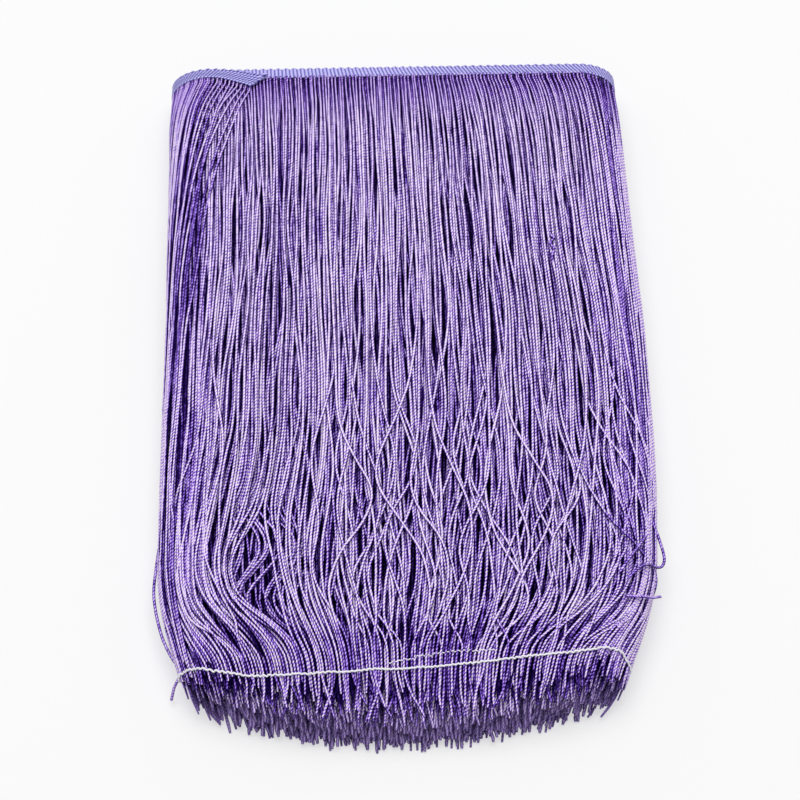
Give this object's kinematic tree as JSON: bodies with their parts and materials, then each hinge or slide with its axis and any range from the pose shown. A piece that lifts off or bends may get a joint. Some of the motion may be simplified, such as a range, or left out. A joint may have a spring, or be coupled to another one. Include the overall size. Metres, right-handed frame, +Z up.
{
  "type": "tassel fringe trim",
  "caption": "Long chainette fringe on a narrow ribbed heading tape, wound into a flat hank and basted across its cut ends, for trimming curtains, shades and clothing.",
  "frame": {"origin": "middle of the hank's footprint, on the surface that it lies on", "axes": "+X along the heading's straight run, +Y from the cut ends towards the heading, +Z up"},
  "size_m": [0.2036, 0.3028, 0.0409],
  "materials": {
    "heading": "woven ribbed tape, soft satin, blue-violet",
    "strands": "lustrous twisted chainette yarn, violet",
    "basting": "matt white sewing thread"
  },
  "bodies": {
    "root": {"heading_tape": "heading", "fringe": "strands", "basting_thread": "basting"}
  },
  "joints": []
}
